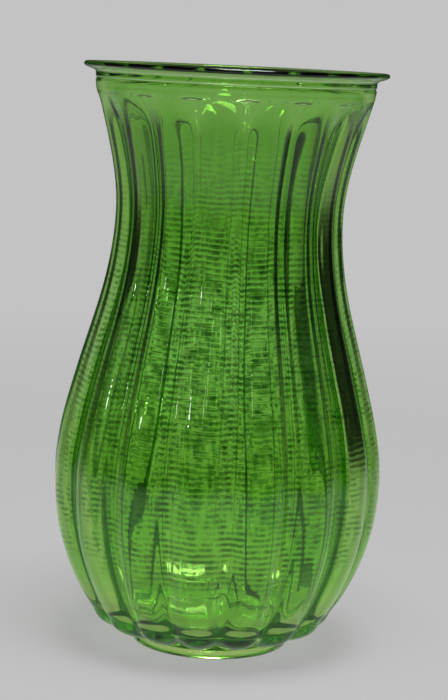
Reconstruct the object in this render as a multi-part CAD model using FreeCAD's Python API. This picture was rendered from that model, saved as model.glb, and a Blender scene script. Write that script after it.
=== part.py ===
import FreeCAD, Part
import math
import os

from FreeCAD import Vector

# Ribbed glass flower vase, moulded in one piece of glass. Millimetres, +Z up.
# The origin is the centre of the ring that the vase stands on.

# Outline over the crests of the lobes. A slope share is the radius gained per height gained.
heel_radius = 37.0
heel_height = 5.4
heel_slope_share = 4.0
hip_radius = 51.6
hip_height = 16.0
hip_slope_share = 0.76
belly_radius = 68.7
belly_height = 70.0
waist_radius = 47.3
waist_height = 180.0
neck_radius = 56.9
neck_height = 230.5
neck_slope_share = 0.21

# Lobes, and the grooves where they meet
lobe_count = 16
groove_depth_share = 0.085
heel_groove_depth = 1.8
arch_gap = 1.0
arch_length = 34.0

# Bead, collar and turned-out lip, stacked on the neck
bead_rise = 1.9
bead_proud = 0.5
bead_width = 2.0
line_depth = 0.4
line_width = 0.7
collar_proud = 0.7
collar_width = 3.2
lip_overhang = 4.9
lip_rise = 1.4
lip_thickness = 2.0
lip_edge_bevel = 0.6
lip_sweep_share = 0.5
lip_lift_share = 0.3
mouth_flare_width = 5.0
mouth_flare_depth = 7.0
flare_steps = 2

# Foot ring
foot_radius = 33.0
foot_ring_width = 3.4
foot_ring_height = 2.4
foot_bevel = 0.8

# Glass thickness behind the crests, and the cavity
belly_wall = 5.0
neck_wall = 3.4
floor_height = 11.0
floor_radius = 30.0
floor_slope_share = 4.0
floor_corner_height = 26.0
inner_lobe_share = 0.55

# Cross sections, as shares of the height from one level of the outline to the next
heel_shares = (0, 0.115, 0.308, 0.538)
hip_shares = (0, 0.200, 0.530)
belly_shares = (0, 0.182, 0.432, 0.659, 0.841)
waist_shares = (0, 0.400, 0.767, 0.900, 0.967)
inner_floor_shares = (0, 0.133, 0.300, 0.533)
inner_corner_shares = (0, 0.300)
inner_belly_shares = (0, 0.227, 0.409, 0.614, 0.841)
inner_waist_shares = (0, 0.581, 0.871, 0.935)

# How far a hidden root runs into the glass that it joins, and a cut runs past it
root_depth = 1.2
overrun = 4.0


def blend(height, low, high):
    """Return the radius on a smooth curve between two places, each (height, radius, slope)."""
    length = high[0] - low[0]
    share = (height - low[0]) / length
    rise = share * share * (3 - 2 * share)
    low_lead = share * (1 - share) * (1 - share)
    high_lead = share * share * (share - 1)
    return low[1] + (high[1] - low[1]) * rise + length * (low[2] * low_lead + high[2] * high_lead)


# Places that follow from the sizes
arch_height = neck_height - arch_gap
bead_radius = neck_radius + bead_proud
bead_height = neck_height + bead_rise
line_height = bead_height + bead_width
collar_radius = neck_radius + collar_proud
collar_top_height = line_height + collar_width
lip_radius = collar_radius + lip_overhang
lip_under_height = collar_top_height + lip_rise
lip_height = lip_under_height + lip_thickness

heel = (heel_height, heel_radius, heel_slope_share)
hip = (hip_height, hip_radius, hip_slope_share)
belly = (belly_height, belly_radius, 0)
waist = (waist_height, waist_radius, 0)
neck = (neck_height, neck_radius, neck_slope_share)
crest_spans = ((heel, hip), (hip, belly), (belly, waist), (waist, neck))


def crest_radius(height):
    """Return the radius over the lobe crests at a height."""
    for low, high in crest_spans:
        if height <= high[0]:
            return blend(height, low, high)
    return neck_radius + neck_slope_share * (height - neck_height)


def groove_depth(height):
    """Return how far the grooves lie behind the crests. They run out in arches at the neck."""
    below_arch = arch_height - height
    if below_arch <= 0:
        return 0
    full = groove_depth_share * crest_radius(height)
    to_go = 1 - min(below_arch / arch_length, 1)
    arched = full * math.sqrt(1 - to_go * to_go)
    above_heel = min((height - heel_height) / (hip_height - heel_height), 1)
    return min(arched, heel_groove_depth + (full - heel_groove_depth) * above_heel)


def wall(height):
    """Return the glass thickness behind the crests, which thins towards the neck."""
    share = min(max((height - belly_height) / (neck_height - belly_height), 0), 1)
    return belly_wall + (neck_wall - belly_wall) * share


def cavity_radius(height):
    """Return the radius of the cavity behind the crests, rounded into the floor."""
    if height >= floor_corner_height:
        return crest_radius(height) - wall(height)
    corner_radius = crest_radius(floor_corner_height) - wall(floor_corner_height)
    floor = (floor_height, floor_radius, floor_slope_share)
    corner = (floor_corner_height, corner_radius, hip_slope_share)
    return blend(height, floor, corner)


def polar(radius, angle, height):
    """Return the point at a radius, an angle and a height."""
    return Vector(radius * math.cos(angle), radius * math.sin(angle), height)


def lobed_wire(crest, valley, height):
    """Return a closed cross section of equal arcs that meet in the grooves."""
    half_pitch = math.pi / lobe_count
    first_groove = -math.pi / 2
    edges = []
    for index in range(lobe_count):
        angle = first_groove + half_pitch * (2 * index + 1)
        start = polar(valley, angle - half_pitch, height)
        middle = polar(crest, angle, height)
        end = polar(valley, angle + half_pitch, height)
        edges.append(Part.Arc(start, middle, end).toShape())
    return Part.Wire(edges)


def round_wire(radius, height):
    """Return a plain round cross section, in as many arcs as there are lobes."""
    return lobed_wire(radius, radius, height)


def section_heights(levels, tables):
    """Return the heights of the cross sections, a table of shares for each step between levels."""
    heights = []
    for low, high, shares in zip(levels, levels[1:], tables):
        heights += [low + (high - low) * share for share in shares]
    return heights


def lobed_body():
    """Return the outside of the vase as a full solid, from the heel into the bead."""
    levels = (heel_height, hip_height, belly_height, waist_height, arch_height)
    tables = (heel_shares, hip_shares, belly_shares, waist_shares)
    wires = []
    for height in section_heights(levels, tables):
        crest = crest_radius(height)
        wires.append(lobed_wire(crest, crest - groove_depth(height), height))
    for height in (arch_height, bead_height + root_depth):
        wires.append(round_wire(crest_radius(height), height))
    return Part.makeLoft(wires, True, True)


def cavity():
    """Return the space inside the vase, whose lobes are softer than those outside."""
    levels = (floor_height, floor_corner_height, belly_height, waist_height, neck_height)
    tables = (inner_floor_shares, inner_corner_shares, inner_belly_shares, inner_waist_shares)
    wires = []
    for height in section_heights(levels, tables):
        crest = cavity_radius(height)
        wires.append(lobed_wire(crest, crest - inner_lobe_share * groove_depth(height), height))
    for height in (neck_height, lip_height + overrun):
        wires.append(round_wire(neck_radius - neck_wall, height))
    return Part.makeLoft(wires, True, True)


def at(radius, height):
    """Return a point of an outline in the XZ plane."""
    return Vector(radius, 0, height)


def turned(points):
    """Return the solid made by turning a closed outline about the Z axis."""
    outline = Part.makePolygon(points + [points[0]])
    return Part.Face(outline).revolve(Vector(0, 0, 0), Vector(0, 0, 1), 360)


def collar_and_lip():
    """Return the bead, the collar and the turned-out lip as a full solid."""
    sweep_run = lip_overhang - lip_edge_bevel
    return turned([
        at(0, bead_height - root_depth),
        at(neck_radius - root_depth, bead_height - root_depth),
        at(bead_radius, bead_height),
        at(bead_radius, line_height - line_width / 2),
        at(collar_radius - line_depth, line_height),
        at(collar_radius, line_height + line_width / 2),
        at(collar_radius, collar_top_height),
        at(collar_radius + sweep_run * lip_sweep_share,
           lip_under_height - lip_rise * lip_lift_share),
        at(lip_radius - lip_edge_bevel, lip_under_height),
        at(lip_radius, lip_height - lip_thickness / 2),
        at(lip_radius - lip_edge_bevel, lip_height),
        at(0, lip_height),
    ])


def mouth():
    """Return the space inside the lip, where the cavity opens out like a trumpet."""
    start_radius = neck_radius - neck_wall - line_depth
    start_height = lip_height - mouth_flare_depth
    flare = []
    for step in range(flare_steps + 1):
        turn = math.pi / 2 * step / flare_steps
        out = mouth_flare_width * (1 - math.cos(turn))
        up = mouth_flare_depth * math.sin(turn)
        flare.append(at(start_radius + out, start_height + up))
    top_height = lip_height + overrun
    return turned([at(0, start_height)] + flare
                  + [at(start_radius + mouth_flare_width, top_height), at(0, top_height)])


def foot():
    """Return the ring that the vase stands on, with the recessed base inside it."""
    inner_radius = foot_radius - foot_ring_width
    return turned([
        at(0, foot_ring_height),
        at(inner_radius - foot_bevel, foot_ring_height),
        at(inner_radius, foot_bevel),
        at(inner_radius + foot_bevel, 0),
        at(foot_radius - foot_bevel, 0),
        at(foot_radius, foot_bevel),
        at(foot_radius + foot_bevel, heel_height + root_depth),
        at(0, heel_height + root_depth),
    ])


def vase():
    """Return the vase as one solid of glass."""
    outside = lobed_body().fuse([collar_and_lip(), foot()])
    return outside.cut([cavity(), mouth()])


os.makedirs("parts", exist_ok=True)
vase().exportStep("parts/glass_vase.step")
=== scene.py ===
import logging
import math
from dataclasses import dataclass, field
from enum import Enum

import bpy
import numpy as np
from mathutils import Matrix, Vector


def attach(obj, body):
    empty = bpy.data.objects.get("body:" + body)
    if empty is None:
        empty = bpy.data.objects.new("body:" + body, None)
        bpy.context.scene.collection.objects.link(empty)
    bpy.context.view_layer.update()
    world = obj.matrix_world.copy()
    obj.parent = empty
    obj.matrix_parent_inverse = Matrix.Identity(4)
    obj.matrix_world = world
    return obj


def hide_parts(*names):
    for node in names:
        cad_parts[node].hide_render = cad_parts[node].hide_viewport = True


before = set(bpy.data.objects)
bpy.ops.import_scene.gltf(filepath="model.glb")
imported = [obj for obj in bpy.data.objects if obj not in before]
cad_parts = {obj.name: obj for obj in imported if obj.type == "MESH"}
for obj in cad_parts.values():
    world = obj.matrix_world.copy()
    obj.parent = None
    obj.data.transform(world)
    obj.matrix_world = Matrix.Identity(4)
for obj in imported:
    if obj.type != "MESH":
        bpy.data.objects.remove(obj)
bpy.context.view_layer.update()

LOG = logging.getLogger("vase")
MM = 0.001
VASE_HEIGHT = 241.0
IMAGE_HEIGHT = 700
LIGHT_BOUNCES = 32
BACKDROP = "#c3c3c3"

# A knot is a place with its value and slope, an outline point is a radius and a height, and a row
# is the radius and the height of each of its points.
Knot = tuple[float, float, float]
Points = list[tuple[float, float]]
Row = tuple[np.ndarray, np.ndarray]
Span = tuple[float, float]
Colour = tuple[float, float, float, float]

# The knots that each round of blending in a smooth line runs between, and the least distance
# between two points of the line that counts as one
BLENDS = (((0, 1), (1, 2), (2, 3)), ((0, 2), (1, 3)), ((1, 2),))
SHORTEST = 1e-6

# Radians in a metre of a wave texture with a scale of 1
WAVE_RADIANS = 20

# Settings that many nodes share, and the sockets of a colour mix
SMOOTH = {"interpolation_type": "SMOOTHSTEP"}
MULTIPLY = {"operation": "MULTIPLY"}
LARGER = {"operation": "MAXIMUM"}
MIX_SHARE, MIX_FIRST, MIX_SECOND, MIX_RESULT = 0, 6, 7, 2


class Wall(Enum):
    """The side of the glass that a row of points lies on."""

    OUTSIDE = "outside"
    INSIDE = "inside"


def linear(hex_colour: str) -> Colour:
    """Turn an sRGB colour into the linear one that a shader takes.

    Args:
        hex_colour: Six hex digits after a hash.

    Returns:
        Red, green, blue and a full alpha.
    """
    channels = [int(hex_colour[i:i + 2], 16) / 255 for i in (1, 3, 5)]
    values = [c / 12.92 if c <= 0.04045 else ((c + 0.055) / 1.055) ** 2.4 for c in channels]
    return (values[0], values[1], values[2], 1.0)


def add_node(tree: bpy.types.NodeTree, kind: str, settings: dict | None = None,
             inputs: dict | None = None) -> bpy.types.Node:
    """Add one node with its settings, values and links.

    Args:
        tree: The node tree.
        kind: The node's type name in Blender.
        settings: Attributes of the node.
        inputs: Input name or number, to a value or to the output socket that feeds it.

    Returns:
        The new node.
    """
    node = tree.nodes.new(kind)
    for name, value in (settings or {}).items():
        setattr(node, name, value)
    for name, value in (inputs or {}).items():
        if isinstance(value, bpy.types.NodeSocket):
            tree.links.new(value, node.inputs[name])
        else:
            node.inputs[name].default_value = value
    return node


def set_stops(ramp: bpy.types.Node, stops: list[tuple[float, Colour]]) -> None:
    """Give a colour ramp its stops.

    Args:
        ramp: The ramp's node.
        stops: Position and colour of each stop, in order.
    """
    elements = ramp.color_ramp.elements
    while len(elements) < len(stops):
        elements.new(1.0)
    for element, (position, colour) in zip(elements, stops):
        element.position = position
        element.color = colour


def clamp(value: float) -> float:
    """Keep a value between 0 and 1.

    Args:
        value: Any value.

    Returns:
        The value, or the nearer end.
    """
    return min(max(value, 0.0), 1.0)


def ease(share: float) -> float:
    """Ease a share in and out.

    Args:
        share: From 0 to 1.

    Returns:
        The eased share, level at both ends.
    """
    return share * share * (3 - 2 * share)


def hermite(at: float, knots: tuple[Knot, ...]) -> float:
    """Read a smooth curve through knots.

    Args:
        at: The place to read.
        knots: The knots, in order of place.

    Returns:
        The curve's value there.
    """
    spans = list(zip(knots, knots[1:]))
    low, high = next((span for span in spans if at <= span[1][0]), spans[-1])
    length = high[0] - low[0]
    share = (at - low[0]) / length
    lead_in = share * (1 - share) ** 2 * low[2]
    lead_out = share * share * (share - 1) * high[2]
    return low[1] + (high[1] - low[1]) * ease(share) + length * (lead_in + lead_out)


def spline(points: Points, steps: int) -> Points:
    """Run a smooth line through points.

    Args:
        points: Radius and height of each point.
        steps: Steps between two points.

    Returns:
        The points of the line, the first and last as given.
    """
    line: Points = []
    padded = [points[0], *points, points[-1]]
    for first in range(len(points) - 1):
        quad = [np.array(point) for point in padded[first:first + 4]]
        knots = [0.0]
        for a, b in zip(quad, quad[1:]):
            knots.append(knots[-1] + math.sqrt(max(float(np.linalg.norm(b - a)), SHORTEST)))
        for step in range(steps):
            at = knots[1] + (knots[2] - knots[1]) * step / steps
            level = quad
            for spans in BLENDS:
                level = [(a * (knots[j] - at) + b * (at - knots[i])) / (knots[j] - knots[i])
                         for (i, j), a, b in zip(spans, level, level[1:])]
            line.append((float(level[0][0]), float(level[0][1])))
    line.append(points[-1])
    return line


def even(line: Points, spacing: float) -> np.ndarray:
    """Lay points at an even spacing along a line.

    Args:
        line: The line's points.
        spacing: The wanted distance between two points.

    Returns:
        An array of radius and height.
    """
    track = np.array(line)
    length = np.concatenate([[0], np.cumsum(np.linalg.norm(np.diff(track, axis=0), axis=1))])
    count = max(2, round(length[-1] / spacing) + 1)
    places = np.linspace(0, length[-1], count)
    return np.stack([np.interp(places, length, track[:, 0]),
                     np.interp(places, length, track[:, 1])], axis=1)


def round_rows(line: np.ndarray, around: int) -> list[Row]:
    """Turn a line about the axis.

    Args:
        line: Radius and height of each point.
        around: Points in one row.

    Returns:
        One row for each point, round in plan.
    """
    return [(np.full(around, radius), np.full(around, height)) for radius, height in line]


@dataclass
class Lobes:
    """The lobes round the body and the grooves between them.

    The shares of rounding say how much of each half lobe, next to its groove, is rounded.
    """

    count: int = 16
    samples: int = 30
    first_groove: float = -math.pi / 2
    depth_share: float = 0.085
    groove_round: float = 0.20
    inner_share: float = 0.55
    inner_round: float = 0.75
    slope_step: float = 0.01

    @property
    def around(self) -> int:
        """Points in one row."""
        return self.count * self.samples

    def angles(self) -> np.ndarray:
        """Spread a row's points round the axis.

        Returns:
            The angle of each point.
        """
        return self.first_groove + np.arange(self.around) * 2 * math.pi / self.around

    def place(self) -> np.ndarray:
        """Say where each point lies in its lobe.

        Returns:
            0 on the crest and 1 in the groove, for each point.
        """
        step = np.arange(self.around) % self.samples / self.samples
        return np.abs(1 - 2 * step)

    def arc(self, place: np.ndarray) -> np.ndarray:
        """Shape a round lobe that meets the next one in a crisp groove.

        Args:
            place: 0 on the crest, 1 in the groove.

        Returns:
            The depth behind the crest at each place, as a share of the groove's depth.
        """
        half = math.pi / self.count
        valley = 1 - self.depth_share
        centre = (1 - valley ** 2) / (2 * (1 - valley * math.cos(half)))
        ball = 1 - centre
        across = centre * np.sin(place * half)
        reach = centre * np.cos(place * half) + np.sqrt(ball ** 2 - across ** 2)
        return (1 - reach) / self.depth_share

    def section(self, wall: Wall) -> np.ndarray:
        """Shape one row: 0 on the crests, near 1 in the rounded grooves.

        Args:
            wall: The outside has crisper grooves than the inside.

        Returns:
            The depth share at each point of a row.
        """
        place = self.place()
        width = self.groove_round if wall is Wall.OUTSIDE else self.inner_round
        shape = self.arc(place)
        start, before = self.arc(np.array([1 - width, 1 - width - self.slope_step]))
        slope = (start - before) / self.slope_step
        rounded = place > 1 - width
        beyond = place[rounded] - (1 - width)
        shape[rounded] = start + slope * (beyond - beyond ** 2 / (2 * width))
        return shape


@dataclass
class Body:
    """The ribbed body from the heel to the neck, in millimetres.

    The crest line and the depths at the heel are knots over the height.
    """

    lobes: Lobes = field(default_factory=Lobes)
    crest: tuple[Knot, ...] = (
        (4.2, 31.0, 7.0), (5.4, 37.2, 3.8), (16.0, 51.6, 0.72), (38.0, 62.9, 0.37),
        (72.0, 68.6, 0.0), (115.0, 60.5, -0.27), (155.0, 49.8, -0.19), (181.0, 47.15, 0.0),
        (230.5, 57.1, 0.25))
    heel_depths: tuple[Knot, ...] = ((4.2, 0.0, 7.0), (5.4, 5.8, 1.0), (14.0, 4.3, 0.04))
    arch_top: float = 229.6
    arch_height: float = 16.0
    arch_straight: float = 0.3
    track_steps: int = 900
    row_spacing: float = 1.1

    def crest_radius(self, height: float) -> float:
        """Read the line over the crests.

        Args:
            height: The height above the ground.

        Returns:
            The radius over the crests there.
        """
        return hermite(height, self.crest)

    def depth(self, height: float) -> float:
        """Say how deep the grooves are before the arches close them.

        Args:
            height: The height above the ground.

        Returns:
            The depth behind the crests.
        """
        if height < self.heel_depths[-1][0]:
            return hermite(height, self.heel_depths)
        return self.lobes.depth_share * self.crest_radius(height)

    def arch(self, height: float) -> float:
        """Let the grooves run out in arches at the neck.

        Args:
            height: The height above the ground.

        Returns:
            The share of their depth that the grooves have there.
        """
        share = clamp((self.arch_top - height) / self.arch_height)
        return self.arch_straight * share + (1 - self.arch_straight) * ease(share)

    def rows(self) -> list[Row]:
        """Lay the rows of the outside, from the heel up to the neck.

        Returns:
            The rows.
        """
        heights = np.linspace(self.crest[0][0], self.crest[-1][0], self.track_steps)
        track = [(self.crest_radius(height), height) for height in heights]
        section = self.lobes.section(Wall.OUTSIDE)
        soft = 0.5 - 0.5 * np.cos(math.pi * self.lobes.place())
        rows = []
        for radius, height in even(track, self.row_spacing):
            arch = self.arch(height)
            shape = arch * (section * arch + soft * (1 - arch))
            rows.append((radius - self.depth(height) * shape, np.full_like(section, height)))
        return rows


@dataclass
class Rim:
    """The bead, collar and turned-out lip, in millimetres."""

    outline: Points = field(default_factory=lambda: [
        (57.1, 230.5), (57.2, 231.5), (57.35, 232.3), (57.45, 233.0), (57.4, 233.8),
        (57.2, 234.15), (57.0, 234.45), (57.25, 234.75), (57.5, 235.3), (57.55, 236.4),
        (57.7, 237.1), (58.4, 237.65), (59.7, 238.1), (61.0, 238.6), (62.0, 239.05),
        (62.45, 239.6), (62.4, 240.3), (62.0, 240.8), (61.3, 240.97), (60.3, 240.85),
        (58.9, 240.4), (57.4, 239.5), (55.9, 238.0), (54.7, 236.0), (53.9, 233.0), (53.2, 228.5)])
    steps: int = 6
    spacing: float = 0.42

    def rows(self, around: int) -> list[Row]:
        """Lay the rows over the bead, collar and lip and down into the mouth.

        Args:
            around: Points in one row.

        Returns:
            The rows after the body's last one.
        """
        return round_rows(even(spline(self.outline, self.steps), self.spacing)[1:], around)


@dataclass
class Bowl:
    """The inside of the vase, whose soft lobes follow the outside, in millimetres.

    The corner between wall and floor goes inwards from the wall by the first number of each of its
    points. Each wave has a strength, turns round the axis, a rise per radian and a start.
    """

    body: Body
    top: float = 228.5
    belly_height: float = 70.0
    belly_wall: float = 5.0
    neck_wall: float = 3.4
    corner_height: float = 30.0
    corner: Points = field(default_factory=lambda: [
        (0.0, 30.0), (3.0, 24.0), (7.2, 18.4), (12.5, 14.4), (19.5, 12.4)])
    floor: Points = field(default_factory=lambda: [(26.0, 11.3), (12.0, 11.6), (1.2, 12.2)])
    track_steps: int = 500
    corner_steps: int = 24
    spacing: float = 1.3
    lobe_end: float = 28.0
    lobe_run: float = 14.0
    mouth_clear: float = 1.0
    mouth_run: float = 30.0
    deeper_below: float = 42.0
    deeper_run: float = 18.0
    deeper_share: float = 0.35
    wave: float = 0.10
    waves: tuple[tuple[float, float, float, float], ...] = (
        (1.0, 3.0, 17.0, 0.0), (0.6, 7.0, -9.0, 1.3), (0.5, 0.0, 6.3, 0.0))

    def radius(self, height: float) -> float:
        """Read the line behind the crests, above the corner.

        Args:
            height: The height above the ground.

        Returns:
            The radius there, less as the glass is thicker.
        """
        share = clamp((height - self.belly_height) / (self.top - self.belly_height))
        wall = self.belly_wall + (self.neck_wall - self.belly_wall) * share
        return self.body.crest_radius(height) - wall

    def track(self) -> np.ndarray:
        """Run from the mouth down the wall and across the floor, behind the crests.

        Returns:
            An array of radius and height.
        """
        heights = np.linspace(self.top, self.corner_height, self.track_steps)
        wall = [(self.radius(height), height) for height in heights]
        foot = self.radius(self.corner_height)
        turn = [(foot - inwards, height) for inwards, height in self.corner]
        return even(wall + spline(turn + self.floor, self.corner_steps)[1:], self.spacing)

    def rows(self) -> list[Row]:
        """Lay the rows of the inside, from the mouth down to the middle of the floor.

        Returns:
            The rows after the rim's last one.
        """
        lobes = self.body.lobes
        section = lobes.section(Wall.INSIDE)
        angles = lobes.angles()
        rows = []
        for radius, height in self.track()[1:]:
            above_corner = height >= self.corner_height
            fade = 1.0 if above_corner else clamp((radius - self.lobe_end) / self.lobe_run)
            deeper = self.deeper_share * clamp((self.deeper_below - height) / self.deeper_run)
            reach = clamp((self.top + self.mouth_clear - height) / self.mouth_run)
            depth = (lobes.inner_share + deeper) * lobes.depth_share * radius
            depth *= ease(fade) * math.sin(reach * math.pi / 2)
            wave = sum(strength * np.sin(turns * angles + height / rise + start)
                       for strength, turns, rise, start in self.waves)
            inner = radius - depth * section - self.wave * fade * reach * wave
            rows.append((inner, np.full_like(section, height)))
        return rows


@dataclass
class Foot:
    """The foot ring and the recessed base inside it, in millimetres."""

    outline: Points = field(default_factory=lambda: [
        (0.8, 3.1), (10.0, 2.9), (20.0, 2.5), (27.0, 2.2), (28.8, 1.8), (29.7, 0.9), (30.6, 0.2),
        (31.4, 0.0), (32.3, 0.2), (33.0, 1.0), (33.1, 1.9), (32.6, 2.7), (31.7, 3.3), (31.1, 3.8),
        (31.0, 4.2)])
    steps: int = 8
    spacing: float = 0.7

    def rows(self, around: int) -> list[Row]:
        """Lay the rows from the middle of the base, over the ring, to the heel.

        Args:
            around: Points in one row.

        Returns:
            The rows before the body's first one.
        """
        return round_rows(even(spline(self.outline, self.steps), self.spacing)[:-1], around)


@dataclass(frozen=True)
class PressedGlass:
    """Clear green soda-lime glass, pressed in a mould and fire-polished.

    It gives the eye a deep leaf green, with painted light in the skin that pales it at the collar
    and in the thick base and paints a dark band along the lip's top edge, a wet gloss, fine level
    ripples where the glass chilled against the mould, with painted shade in them where the glass
    faces the eye, and painted dark stripes of shade down the flanks of the lobes, where the glass
    turns away from the eye and a sight line runs through the most glass. Heights are in
    millimetres. A span is where an effect is nothing and where it is full.
    """

    name: str = "green soda-lime glass, pressed and fire-polished"
    ior: float = 1.52
    roughness: float = 0.01

    # Colour of the skin from the ground up, with painted light that makes it paler or darker by
    # height, palest in the thick base, and a painted dark band on the lip's top edge; and of the
    # depth of the glass, per metre
    skin_and_light: tuple[tuple[float, str], ...] = (
        (0.0, "#dffba7"), (18.0, "#d8f99e"), (34.0, "#b9f57d"), (60.0, "#bfee86"),
        (125.0, "#c9f2a9"), (178.0, "#b1e184"), (212.0, "#a8da6a"), (228.0, "#c2e99a"),
        (237.5, "#caebb3"), (240.0, "#8fb46a"))
    body_colour: str = "#b6e25d"
    density: float = 60.0

    # Uneven surface: broad swirls with a share of the ripples on them, and its depth
    swirl_mm: float = 9.0
    swirl_detail: float = 2.0
    swirl_roughness: float = 0.5
    ripple_share: float = 0.15
    bump_mm: float = 0.035

    # Chill ripples: from one to the next, and how much they wander
    ripple_mm: float = 2.4
    ripple_wander: float = 1.6
    ripple_detail: float = 1.0
    ripple_detail_scale: float = 0.6

    # Painted shade in the ripples, in patches, on the body, and only where the glass faces the eye
    ripple_shade_colour: str = "#44802c"
    patch_mm: float = 4.0
    patch_stretch: float = 0.45
    patch_detail: float = 2.0
    patch_roughness: float = 0.6
    patch_span: Span = (0.38, 0.62)
    ripple_shade_top: Span = (228.0, 150.0)
    ripple_shade_foot: Span = (28.0, 48.0)
    ripple_shade_facing: Span = (0.50, 0.15)

    # Painted shade in dark stripes: how dark for how far the glass turns away, fewer below and none
    # at the arches
    stripe_shade_colour: str = "#0a1e0d"
    stripes: tuple[tuple[float, float], ...] = (
        (0.33, 0.0), (0.42, 1.0), (0.56, 1.0), (0.64, 0.2), (0.80, 0.2), (0.93, 1.0))
    stripe_foot: Span = (30.0, 150.0)
    stripe_least: float = 0.25
    stripe_top: Span = (229.0, 215.0)

    def build(self) -> bpy.types.Material:
        """Make the material.

        Returns:
            The glass material, with colour in its skin and in its depth.
        """
        material = bpy.data.materials.new(self.name)
        material.use_nodes = True
        tree = material.node_tree
        tree.nodes.clear()
        place = add_node(tree, "ShaderNodeTexCoord").outputs["Object"]
        swirl = add_node(tree, "ShaderNodeTexNoise", inputs={
            "Vector": place, "Scale": 1 / (self.swirl_mm * MM), "Detail": self.swirl_detail,
            "Roughness": self.swirl_roughness})
        ripple = add_node(tree, "ShaderNodeTexWave", {
            "bands_direction": "Z", "wave_profile": "SIN"}, {
            "Vector": place, "Scale": 2 * math.pi / (WAVE_RADIANS * self.ripple_mm * MM),
            "Distortion": self.ripple_wander, "Detail": self.ripple_detail,
            "Detail Scale": self.ripple_detail_scale}).outputs["Fac"]
        height = add_node(tree, "ShaderNodeMath", {"operation": "MULTIPLY_ADD"}, {
            0: ripple, 1: self.ripple_share, 2: swirl.outputs["Fac"]})
        bump = add_node(tree, "ShaderNodeBump", inputs={
            "Strength": 1.0, "Distance": self.bump_mm * MM, "Height": height.outputs[0]})
        glass = add_node(tree, "ShaderNodeBsdfPrincipled", inputs={
            "Base Color": self.skin(tree, place, ripple), "Roughness": self.roughness,
            "IOR": self.ior, "Transmission Weight": 1.0, "Normal": bump.outputs["Normal"]})
        depth = add_node(tree, "ShaderNodeVolumeAbsorption", inputs={
            "Color": linear(self.body_colour), "Density": self.density})
        add_node(tree, "ShaderNodeOutputMaterial", inputs={
            "Surface": glass.outputs["BSDF"], "Volume": depth.outputs["Volume"]})
        return material

    def skin(self, tree: bpy.types.NodeTree, place: bpy.types.NodeSocket,
             ripple: bpy.types.NodeSocket) -> bpy.types.NodeSocket:
        """Colour the skin: by height, with painted light, darker with painted shade in the ripples,
        and darkest with painted shade in the stripes.

        Args:
            tree: The material's nodes.
            place: Where on the vase.
            ripple: The level ripples.

        Returns:
            The colour.
        """
        metres = add_node(tree, "ShaderNodeSeparateXYZ", inputs={0: place}).outputs["Z"]
        up = add_node(tree, "ShaderNodeMath", MULTIPLY, {0: metres, 1: 1 / MM}).outputs[0]
        # With an even blend, Facing is 0 where the glass faces the eye and 1 where it is edge on.
        facing = add_node(tree, "ShaderNodeLayerWeight", inputs={"Blend": 0.5}).outputs["Facing"]
        # Painted shade: the ripples darken the skin where the glass faces the eye.
        ripple_shaded = add_node(tree, "ShaderNodeMix", {"data_type": "RGBA", "blend_type": "MULTIPLY"}, {
            MIX_SHARE: self.ripple_shade(tree, place, up, facing, ripple),
            MIX_FIRST: self.tone(tree, up), MIX_SECOND: linear(self.ripple_shade_colour)})
        # Painted shade: dark stripes where the glass turns away from the eye.
        striped = add_node(tree, "ShaderNodeMix", {"data_type": "RGBA"}, {
            MIX_SHARE: self.stripe_shade(tree, up, facing),
            MIX_FIRST: ripple_shaded.outputs[MIX_RESULT], MIX_SECOND: linear(self.stripe_shade_colour)})
        return striped.outputs[MIX_RESULT]

    def tone(self, tree: bpy.types.NodeTree, up: bpy.types.NodeSocket) -> bpy.types.NodeSocket:
        """Colour the glass by height, with painted light: paler or darker zone by zone, and a
        painted dark band on the lip's top edge.

        Args:
            tree: The material's nodes.
            up: The height in millimetres.

        Returns:
            The colour.
        """
        share = add_node(tree, "ShaderNodeMath", MULTIPLY, {0: up, 1: 1 / VASE_HEIGHT})
        # Painted light: the ramp makes the skin paler or darker by height, with a dark band on the
        # lip.
        ramp = add_node(tree, "ShaderNodeValToRGB", inputs={0: share.outputs[0]})
        set_stops(ramp, [(height / VASE_HEIGHT, linear(colour)) for height, colour in self.skin_and_light])
        return ramp.outputs["Color"]

    def ripple_shade(self, tree: bpy.types.NodeTree, place: bpy.types.NodeSocket,
                    up: bpy.types.NodeSocket, facing: bpy.types.NodeSocket,
                    ripple: bpy.types.NodeSocket) -> bpy.types.NodeSocket:
        """Say where the painted shade in the ripples shows, and how strongly.

        Args:
            tree: The material's nodes.
            place: Where on the vase.
            up: The height in millimetres.
            facing: How far the glass turns away from the eye.
            ripple: The level ripples.

        Returns:
            The share of the painted ripple shade.
        """
        stretched = add_node(tree, "ShaderNodeVectorMath", MULTIPLY, {
            0: place, 1: (1.0, 1.0, self.patch_stretch)})
        patch = add_node(tree, "ShaderNodeTexNoise", inputs={
            "Vector": stretched.outputs["Vector"], "Scale": 1 / (self.patch_mm * MM),
            "Detail": self.patch_detail, "Roughness": self.patch_roughness})
        share = ripple
        for value, (none, full) in ((up, self.ripple_shade_top), (up, self.ripple_shade_foot),
                                    (patch.outputs["Fac"], self.patch_span),
                                    (facing, self.ripple_shade_facing)):
            limit = add_node(tree, "ShaderNodeMapRange", SMOOTH, {
                "Value": value, "From Min": none, "From Max": full})
            share = add_node(tree, "ShaderNodeMath", MULTIPLY, {
                0: share, 1: limit.outputs[0]}).outputs[0]
        return share

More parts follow.
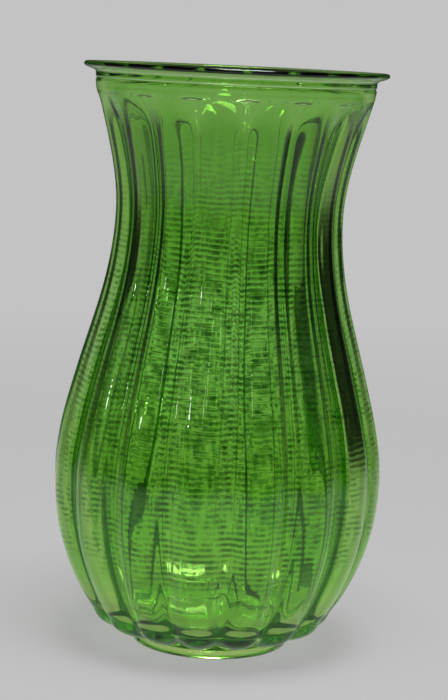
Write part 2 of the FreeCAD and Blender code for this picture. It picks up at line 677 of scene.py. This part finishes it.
    def stripe_shade(self, tree: bpy.types.NodeTree, up: bpy.types.NodeSocket,
                    facing: bpy.types.NodeSocket) -> bpy.types.NodeSocket:
        """Say where the dark stripes show, and how strongly.

        Args:
            tree: The material's nodes.
            up: The height in millimetres.
            facing: How far the glass turns away from the eye.

        Returns:
            The share of the painted stripe shade.
        """
        ramp = add_node(tree, "ShaderNodeValToRGB", inputs={0: facing})
        ramp.color_ramp.interpolation = "EASE"
        set_stops(ramp, [(turned, (dark, dark, dark, 1.0)) for turned, dark in self.stripes])
        share = ramp.outputs["Color"]
        for (none, full), least in ((self.stripe_foot, self.stripe_least), (self.stripe_top, 0.0)):
            limit = add_node(tree, "ShaderNodeMapRange", SMOOTH, {
                "Value": up, "From Min": none, "From Max": full, "To Min": least})
            share = add_node(tree, "ShaderNodeMath", MULTIPLY, {
                0: share, 1: limit.outputs[0]}).outputs[0]
        return share


@dataclass(frozen=True)
class PalePaper:
    """Matt pale paper under even light.

    It gives the eye a quiet ground with a soft shadow, which fades into the backdrop with no edge.
    """

    name: str = "matt pale paper"
    colour: str = "#b4b4b4"
    glow_share: float = 0.7

    def build(self, solid: float, end: float) -> bpy.types.Material:
        """Make the material.

        Args:
            solid: Distance from the vase, in millimetres, where the paper starts to fade.
            end: Distance where it is gone.

        Returns:
            The paper material.
        """
        material = bpy.data.materials.new(self.name)
        material.use_nodes = True
        tree = material.node_tree
        tree.nodes.clear()
        paper = add_node(tree, "ShaderNodeBsdfDiffuse", inputs={"Color": linear(self.colour)})
        glow = add_node(tree, "ShaderNodeEmission", inputs={
            "Color": linear(BACKDROP), "Strength": 1.0})
        path = add_node(tree, "ShaderNodeLightPath")
        seen = path.outputs["Is Camera Ray"]
        for ray in ("Is Glossy Ray", "Is Transmission Ray"):
            seen = add_node(tree, "ShaderNodeMath", LARGER, {
                0: seen, 1: path.outputs[ray]}).outputs[0]
        share = add_node(tree, "ShaderNodeMath", MULTIPLY, {0: seen, 1: self.glow_share})
        lit = add_node(tree, "ShaderNodeMixShader", inputs={
            0: share.outputs[0], 1: paper.outputs[0], 2: glow.outputs[0]})
        place = add_node(tree, "ShaderNodeTexCoord").outputs["Object"]
        away = add_node(tree, "ShaderNodeVectorMath", {"operation": "LENGTH"}, {0: place})
        fade = add_node(tree, "ShaderNodeMapRange", SMOOTH, {
            "Value": away.outputs["Value"], "From Min": solid * MM, "From Max": end * MM})
        clear = add_node(tree, "ShaderNodeBsdfTransparent")
        edge = add_node(tree, "ShaderNodeMixShader", inputs={
            0: fade.outputs[0], 1: lit.outputs[0], 2: clear.outputs[0]})
        add_node(tree, "ShaderNodeOutputMaterial", inputs={"Surface": edge.outputs[0]})
        return material


@dataclass
class Vase:
    """The whole vase, one closed skin of glass, in millimetres.

    Above the belly it leans to one side by a hair, as the real one does.
    """

    body: Body = field(default_factory=Body)
    rim: Rim = field(default_factory=Rim)
    foot: Foot = field(default_factory=Foot)
    glass: PressedGlass = field(default_factory=PressedGlass)
    lean: float = 0.9
    lean_from: float = 100.0

    def build(self) -> bpy.types.Object:
        """Build the skin from its rows, dress it and seat it on the frame.

        Returns:
            The vase.
        """
        around = self.body.lobes.around
        rows = (self.foot.rows(around) + self.body.rows() + self.rim.rows(around)
                + Bowl(self.body).rows())
        faces = self.faces(len(rows), around)
        mesh = bpy.data.meshes.new("vase_glass")
        mesh.from_pydata(self.points(rows).tolist(), [], faces)
        mesh.shade_smooth()
        vase = bpy.data.objects.new("vase_glass", mesh)
        bpy.context.scene.collection.objects.link(vase)
        mesh.materials.append(self.glass.build())
        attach(vase, "root")
        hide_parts("glass_vase")
        LOG.info("vase_glass: %d rows of %d points, %d faces", len(rows), around, len(faces))
        return vase

    def points(self, rows: list[Row]) -> np.ndarray:
        """Place the points of the rows, and one in the middle of the first and of the last.

        Args:
            rows: The rows, from the base round the rim to the floor inside.

        Returns:
            The points in metres.
        """
        angles = self.body.lobes.angles()
        radius = np.array([row[0] for row in rows])
        height = np.array([row[1] for row in rows])
        share = np.maximum(height - self.lean_from, 0) / (VASE_HEIGHT - self.lean_from)
        lean = self.lean * share ** 2
        skin = np.stack([radius * np.cos(angles) + lean, radius * np.sin(angles), height], axis=2)
        middles = [[0, 0, height[0].mean()], [0, 0, height[-1].mean()]]
        return np.vstack([skin.reshape(-1, 3), middles]) * MM

    @staticmethod
    def faces(count: int, around: int) -> list[tuple[int, ...]]:
        """List the faces between the rows, and the fans that close the first and the last.

        Args:
            count: Number of rows.
            around: Points in one row.

        Returns:
            The faces, turned outwards.
        """
        here = np.arange(around)
        after = (here + 1) % around
        quads = [np.stack([k * around + here, k * around + after,
                           (k + 1) * around + after, (k + 1) * around + here], axis=1)
                 for k in range(count - 1)]
        faces: list[tuple[int, ...]] = [tuple(f) for f in np.concatenate(quads).tolist()]
        first, last = count * around, count * around + 1
        faces += [(first, int(b), int(a)) for a, b in zip(here, after)]
        top = (count - 1) * around
        faces += [(last, int(top + a), int(top + b)) for a, b in zip(here, after)]
        return faces


@dataclass(frozen=True)
class Lamp:
    """One soft lamp: its turn round the vase and rise in degrees, sizes in millimetres, watts."""

    name: str
    turn: float
    rise: float
    away: float
    width: float
    height: float
    watts: float

    def build(self, aim_height: float) -> None:
        """Hang the lamp, turned to the vase.

        Args:
            aim_height: The height on the vase's axis that it points at, in millimetres.
        """
        lamp = bpy.data.lights.new(self.name, "AREA")
        lamp.shape = "RECTANGLE"
        lamp.size, lamp.size_y = self.width * MM, self.height * MM
        lamp.energy = self.watts
        holder = bpy.data.objects.new(self.name, lamp)
        bpy.context.scene.collection.objects.link(holder)
        angle, lift = math.radians(self.turn), math.radians(self.rise)
        aim = Vector((math.sin(angle) * math.cos(lift), -math.cos(angle) * math.cos(lift),
                      math.sin(lift)))
        holder.location = Vector((0, 0, aim_height * MM)) + aim * self.away * MM
        holder.rotation_euler = aim.to_track_quat("Z", "Y").to_euler()


@dataclass(frozen=True)
class Camera:
    """The camera as fitted to the vase's outline, in millimetres, degrees and pixels."""

    distance: float = 840.0
    height: float = 250.5
    turn: float = 5.3
    pitch: float = 8.576
    roll: float = 2.671
    focal_pixels: float = 2035.8
    shift_pixels: float = -2.065
    film_mm: float = 36.0
    far_metres: float = 50.0

    def build(self) -> None:
        """Set the camera and make it the scene's own."""
        turn, pitch, roll = (math.radians(v) for v in (self.turn, self.pitch, self.roll))
        right = Vector((math.cos(turn), -math.sin(turn), 0))
        level = Vector((math.sin(turn), math.cos(turn), 0))
        ahead = level * math.cos(pitch) - Vector((0, 0, math.sin(pitch)))
        up = right.cross(ahead)
        side = right * math.cos(roll) + up * math.sin(roll)
        above = up * math.cos(roll) - right * math.sin(roll)
        data = bpy.data.cameras.new("camera")
        data.sensor_fit = "VERTICAL"
        data.sensor_height = self.film_mm
        data.lens = self.focal_pixels * self.film_mm / IMAGE_HEIGHT
        data.shift_x = -self.shift_pixels / IMAGE_HEIGHT
        data.clip_end = self.far_metres
        camera = bpy.data.objects.new("camera", data)
        bpy.context.scene.collection.objects.link(camera)
        place = -level * self.distance * MM + Vector((0, 0, self.height * MM))
        axes = Matrix((side, above, -ahead)).transposed().to_4x4()
        camera.matrix_world = Matrix.Translation(place) @ axes
        bpy.context.scene.camera = camera


@dataclass
class Studio:
    """Pale floor, soft lamps, the surround and the camera, in millimetres.

    The surround's gaps between its pale panels are in degrees from straight ahead or behind, and
    repeat every quarter turn. Its top and ground are shares of a ray that point upwards.
    """

    camera: Camera = field(default_factory=Camera)
    paper: PalePaper = field(default_factory=PalePaper)
    floor_size: float = 2200.0
    floor_solid: float = 250.0
    lamp_aim: float = 120.0
    lamps: tuple[Lamp, ...] = (
        Lamp("low window lamp", -64.0, 13.0, 1800.0, 60.0, 60.0, 0.4),
        Lamp("high window lamp", -80.0, 20.0, 1800.0, 60.0, 60.0, 0.3),
        Lamp("front lamp", -14.0, 19.0, 1900.0, 40.0, 120.0, 0.1),
        Lamp("ceiling lamp", 15.0, 80.0, 1600.0, 650.0, 650.0, 32.0),
        Lamp("overhead lamp", 20.0, 84.0, 1600.0, 1500.0, 1500.0, 2.0))
    gap_colour: str = "#2a2a2a"
    quarter_turn: float = 90.0
    gap_start: Span = (53.0, 50.0)
    gap_end: Span = (66.0, 70.0)
    panel_top: Span = (0.90, 0.65)
    ground: Span = (-0.02, -0.50)

    def build(self) -> None:
        """Build the surround, floor, lamps and camera."""
        self.surround()
        self.lay_floor()
        for lamp in self.lamps:
            lamp.build(self.lamp_aim)
        self.camera.build()
        LOG.info("studio: floor of %.0f mm, %d lamps", self.floor_size, len(self.lamps))

    def surround(self) -> None:
        """Make the surround: even and pale to the eye, with gaps in its panels for the glass."""
        world = bpy.data.worlds.new("pale studio surround")
        bpy.context.scene.world = world
        world.use_nodes = True
        tree = world.node_tree
        tree.nodes.clear()
        way = add_node(tree, "ShaderNodeSeparateXYZ", inputs={
            0: add_node(tree, "ShaderNodeTexCoord").outputs["Generated"]})
        turn = add_node(tree, "ShaderNodeMath", {"operation": "ARCTAN2"}, {
            0: way.outputs["X"], 1: way.outputs["Y"]})
        folded = add_node(tree, "ShaderNodeMath", {"operation": "PINGPONG"}, {
            0: turn.outputs[0], 1: math.radians(self.quarter_turn)})
        near, far = (add_node(tree, "ShaderNodeMapRange", SMOOTH, {
            "Value": folded.outputs[0], "From Min": math.radians(none),
            "From Max": math.radians(full)}) for none, full in (self.gap_start, self.gap_end))
        below, ground = (add_node(tree, "ShaderNodeMapRange", SMOOTH, {
            "Value": way.outputs["Z"], "From Min": none, "From Max": full})
            for none, full in (self.panel_top, self.ground))
        panel = add_node(tree, "ShaderNodeMath", LARGER, {0: near.outputs[0], 1: far.outputs[0]})
        pale = add_node(tree, "ShaderNodeMath", MULTIPLY, {
            0: panel.outputs[0], 1: below.outputs[0]})

        # The panels show through the glass, the ground shows in it too, and the eye sees all pale.
        path = add_node(tree, "ShaderNodeLightPath").outputs
        through = add_node(tree, "ShaderNodeMath", MULTIPLY, {
            0: pale.outputs[0], 1: path["Is Transmission Ray"]})
        glass = add_node(tree, "ShaderNodeMath", LARGER, {
            0: path["Is Glossy Ray"], 1: path["Is Transmission Ray"]})
        under = add_node(tree, "ShaderNodeMath", MULTIPLY, {
            0: glass.outputs[0], 1: ground.outputs[0]})
        seen = add_node(tree, "ShaderNodeMath", LARGER, {
            0: through.outputs[0], 1: under.outputs[0]})
        seen = add_node(tree, "ShaderNodeMath", LARGER, {
            0: seen.outputs[0], 1: path["Is Camera Ray"]})
        tone = add_node(tree, "ShaderNodeMix", {"data_type": "RGBA"}, {
            MIX_SHARE: seen.outputs[0], MIX_FIRST: linear(self.gap_colour),
            MIX_SECOND: linear(BACKDROP)})
        lit = add_node(tree, "ShaderNodeBackground", inputs={
            "Color": tone.outputs[MIX_RESULT], "Strength": 1.0})
        add_node(tree, "ShaderNodeOutputWorld", inputs={"Surface": lit.outputs[0]})

    def lay_floor(self) -> None:
        """Lay the pale floor."""
        half = self.floor_size / 2
        edge = half * MM
        mesh = bpy.data.meshes.new("floor")
        mesh.from_pydata([(-edge, -edge, 0), (edge, -edge, 0), (edge, edge, 0), (-edge, edge, 0)],
                         [], [(0, 1, 2, 3)])
        floor = bpy.data.objects.new("floor", mesh)
        bpy.context.scene.collection.objects.link(floor)
        mesh.materials.append(self.paper.build(self.floor_solid, half))


def main() -> None:
    """Build the studio and the vase."""
    logging.basicConfig(level=logging.INFO, format="%(name)s: %(message)s")
    scene = bpy.context.scene
    scene.view_settings.view_transform = "Standard"
    scene.cycles.max_bounces = LIGHT_BOUNCES
    scene.cycles.transmission_bounces = LIGHT_BOUNCES
    scene.cycles.glossy_bounces = LIGHT_BOUNCES
    Studio().build()
    Vase().build()


if __name__ == "__main__":
    main()
